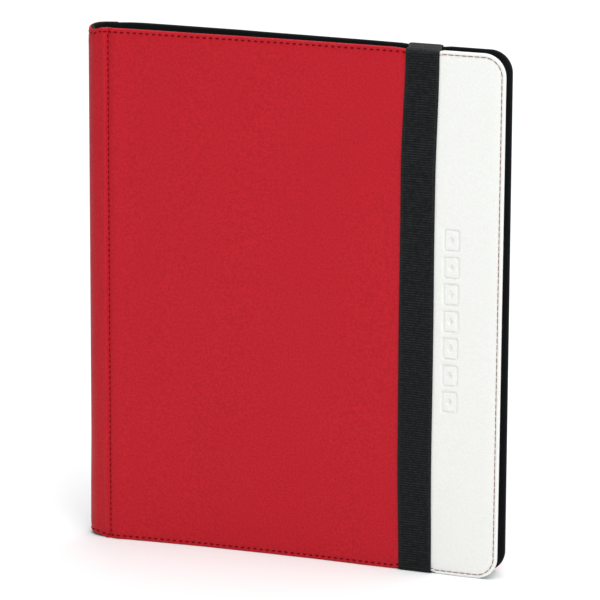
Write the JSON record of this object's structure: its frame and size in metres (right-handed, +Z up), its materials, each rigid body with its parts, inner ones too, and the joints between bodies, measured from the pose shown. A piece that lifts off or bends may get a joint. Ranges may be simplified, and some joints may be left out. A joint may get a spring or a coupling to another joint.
{
  "type": "trading card binder",
  "caption": "Closed card binder standing upright: padded leatherette covers, soft rounded spine, side-loading pocket pages on one binding, contrast fore-edge panel and elastic strap.",
  "frame": {"origin": "middle of the closed binder's base, on the surface it stands on", "axes": "+Z up along the binder's height, +X from the spine to the fore-edge, the front cover faces -Y"},
  "size_m": [0.2624, 0.0206, 0.3184],
  "materials": {
    "red_leatherette": "fine-grained red imitation leather, satin",
    "white_leatherette": "fine-grained white imitation leather, satin",
    "black_lining": "woven black lining cloth, matt",
    "foam": "thin padding foam, matt",
    "greyboard": "pressed paper board, matt",
    "binding_plastic": "black welded plastic, satin",
    "page_film": "clear pocket film over a black core, glossy",
    "elastic": "ribbed woven black elastic, matt"
  },
  "bodies": {
    "rear_cover": {"rear_skin": "red_leatherette", "rear_foam": "foam", "rear_board": "greyboard", "rear_lining": "black_lining", "page_binding": "binding_plastic", "binding_flange": "black_lining", "strap_tab_lower": "elastic", "strap_tab_upper": "elastic"},
    "spine": {"spine_skin": "red_leatherette", "spine_stiffener": "greyboard", "spine_lining": "black_lining"},
    "front_cover": {"front_skin": "red_leatherette", "fore_edge_panel": "white_leatherette", "front_foam": "foam", "front_board": "greyboard", "front_lining": "black_lining"},
    "page_01": {"page_01": "page_film"},
    "page_02": {"page_02": "page_film"},
    "page_03": {"page_03": "page_film"},
    "page_04": {"page_04": "page_film"},
    "page_05": {"page_05": "page_film"},
    "page_06": {"page_06": "page_film"},
    "page_07": {"page_07": "page_film"},
    "page_08": {"page_08": "page_film"},
    "page_09": {"page_09": "page_film"},
    "page_10": {"page_10": "page_film"},
    "page_11": {"page_11": "page_film"},
    "page_12": {"page_12": "page_film"},
    "page_13": {"page_13": "page_film"},
    "page_14": {"page_14": "page_film"},
    "page_15": {"page_15": "page_film"},
    "page_16": {"page_16": "page_film"},
    "page_17": {"page_17": "page_film"},
    "page_18": {"page_18": "page_film"},
    "page_19": {"page_19": "page_film"},
    "page_20": {"page_20": "page_film"},
    "strap": {"elastic_strap": "elastic"}
  },
  "joints": [
    {"name": "spine_hinge", "type": "hinge", "parent": "rear_cover", "child": "spine", "pos_m": [-0.11575, 0.009, 0.159], "axis": [0, 0, -1], "range_deg": [0, 90]},
    {"name": "front_hinge", "type": "hinge", "parent": "spine", "child": "front_cover", "pos_m": [-0.11575, -0.009, 0.159], "axis": [0, 0, -1], "range_deg": [0, 90]},
    {"name": "turn_page_01", "type": "hinge", "parent": "rear_cover", "child": "page_01", "pos_m": [-0.10975, 0, 0.159], "axis": [0, 0, -1], "range_deg": [0, 178]},
    {"name": "turn_page_02", "type": "hinge", "parent": "rear_cover", "child": "page_02", "pos_m": [-0.10975, 0, 0.159], "axis": [0, 0, -1], "range_deg": [0, 178]},
    {"name": "turn_page_03", "type": "hinge", "parent": "rear_cover", "child": "page_03", "pos_m": [-0.10975, 0, 0.159], "axis": [0, 0, -1], "range_deg": [0, 178]},
    {"name": "turn_page_04", "type": "hinge", "parent": "rear_cover", "child": "page_04", "pos_m": [-0.10975, 0, 0.159], "axis": [0, 0, -1], "range_deg": [0, 178]},
    {"name": "turn_page_05", "type": "hinge", "parent": "rear_cover", "child": "page_05", "pos_m": [-0.10975, 0, 0.159], "axis": [0, 0, -1], "range_deg": [0, 178]},
    {"name": "turn_page_06", "type": "hinge", "parent": "rear_cover", "child": "page_06", "pos_m": [-0.10975, 0, 0.159], "axis": [0, 0, -1], "range_deg": [0, 178]},
    {"name": "turn_page_07", "type": "hinge", "parent": "rear_cover", "child": "page_07", "pos_m": [-0.10975, 0, 0.159], "axis": [0, 0, -1], "range_deg": [0, 178]},
    {"name": "turn_page_08", "type": "hinge", "parent": "rear_cover", "child": "page_08", "pos_m": [-0.10975, 0, 0.159], "axis": [0, 0, -1], "range_deg": [0, 178]},
    {"name": "turn_page_09", "type": "hinge", "parent": "rear_cover", "child": "page_09", "pos_m": [-0.10975, 0, 0.159], "axis": [0, 0, -1], "range_deg": [0, 178]},
    {"name": "turn_page_10", "type": "hinge", "parent": "rear_cover", "child": "page_10", "pos_m": [-0.10975, 0, 0.159], "axis": [0, 0, -1], "range_deg": [0, 178]},
    {"name": "turn_page_11", "type": "hinge", "parent": "rear_cover", "child": "page_11", "pos_m": [-0.10975, 0, 0.159], "axis": [0, 0, -1], "range_deg": [0, 178]},
    {"name": "turn_page_12", "type": "hinge", "parent": "rear_cover", "child": "page_12", "pos_m": [-0.10975, 0, 0.159], "axis": [0, 0, -1], "range_deg": [0, 178]},
    {"name": "turn_page_13", "type": "hinge", "parent": "rear_cover", "child": "page_13", "pos_m": [-0.10975, 0, 0.159], "axis": [0, 0, -1], "range_deg": [0, 178]},
    {"name": "turn_page_14", "type": "hinge", "parent": "rear_cover", "child": "page_14", "pos_m": [-0.10975, 0, 0.159], "axis": [0, 0, -1], "range_deg": [0, 178]},
    {"name": "turn_page_15", "type": "hinge", "parent": "rear_cover", "child": "page_15", "pos_m": [-0.10975, 0, 0.159], "axis": [0, 0, -1], "range_deg": [0, 178]},
    {"name": "turn_page_16", "type": "hinge", "parent": "rear_cover", "child": "page_16", "pos_m": [-0.10975, 0, 0.159], "axis": [0, 0, -1], "range_deg": [0, 178]},
    {"name": "turn_page_17", "type": "hinge", "parent": "rear_cover", "child": "page_17", "pos_m": [-0.10975, 0, 0.159], "axis": [0, 0, -1], "range_deg": [0, 178]},
    {"name": "turn_page_18", "type": "hinge", "parent": "rear_cover", "child": "page_18", "pos_m": [-0.10975, 0, 0.159], "axis": [0, 0, -1], "range_deg": [0, 178]},
    {"name": "turn_page_19", "type": "hinge", "parent": "rear_cover", "child": "page_19", "pos_m": [-0.10975, 0, 0.159], "axis": [0, 0, -1], "range_deg": [0, 178]},
    {"name": "turn_page_20", "type": "hinge", "parent": "rear_cover", "child": "page_20", "pos_m": [-0.10975, 0, 0.159], "axis": [0, 0, -1], "range_deg": [0, 178]},
    {"name": "strap_pull", "type": "slide", "parent": "rear_cover", "child": "strap", "axis": [1, 0, 0], "range_m": [0, 0.068], "deforming": ["elastic_strap"]}
  ],
  "couplings": [
    {"joint": "front_hinge", "follows": "spine_hinge", "ratio": 1},
    {"joint": "turn_page_01", "follows": "spine_hinge", "ratio": 1.9778},
    {"joint": "turn_page_02", "follows": "spine_hinge", "ratio": 1.9444},
    {"joint": "turn_page_03", "follows": "spine_hinge", "ratio": 1.9111},
    {"joint": "turn_page_04", "follows": "spine_hinge", "ratio": 1.8778},
    {"joint": "turn_page_05", "follows": "spine_hinge", "ratio": 1.8444},
    {"joint": "turn_page_06", "follows": "spine_hinge", "ratio": 1.8111},
    {"joint": "turn_page_07", "follows": "spine_hinge", "ratio": 1.7778},
    {"joint": "turn_page_08", "follows": "spine_hinge", "ratio": 1.7444},
    {"joint": "turn_page_09", "follows": "spine_hinge", "ratio": 1.7111},
    {"joint": "turn_page_10", "follows": "spine_hinge", "ratio": 1.6778},
    {"joint": "turn_page_11", "follows": "spine_hinge", "ratio": 0.022222},
    {"joint": "turn_page_12", "follows": "spine_hinge", "ratio": 0.02},
    {"joint": "turn_page_13", "follows": "spine_hinge", "ratio": 0.017778},
    {"joint": "turn_page_14", "follows": "spine_hinge", "ratio": 0.015556},
    {"joint": "turn_page_15", "follows": "spine_hinge", "ratio": 0.013333},
    {"joint": "turn_page_16", "follows": "spine_hinge", "ratio": 0.011111},
    {"joint": "turn_page_17", "follows": "spine_hinge", "ratio": 0.008889},
    {"joint": "turn_page_18", "follows": "spine_hinge", "ratio": 0.006667},
    {"joint": "turn_page_19", "follows": "spine_hinge", "ratio": 0.004444},
    {"joint": "turn_page_20", "follows": "spine_hinge", "ratio": 0.002222}
  ]
}
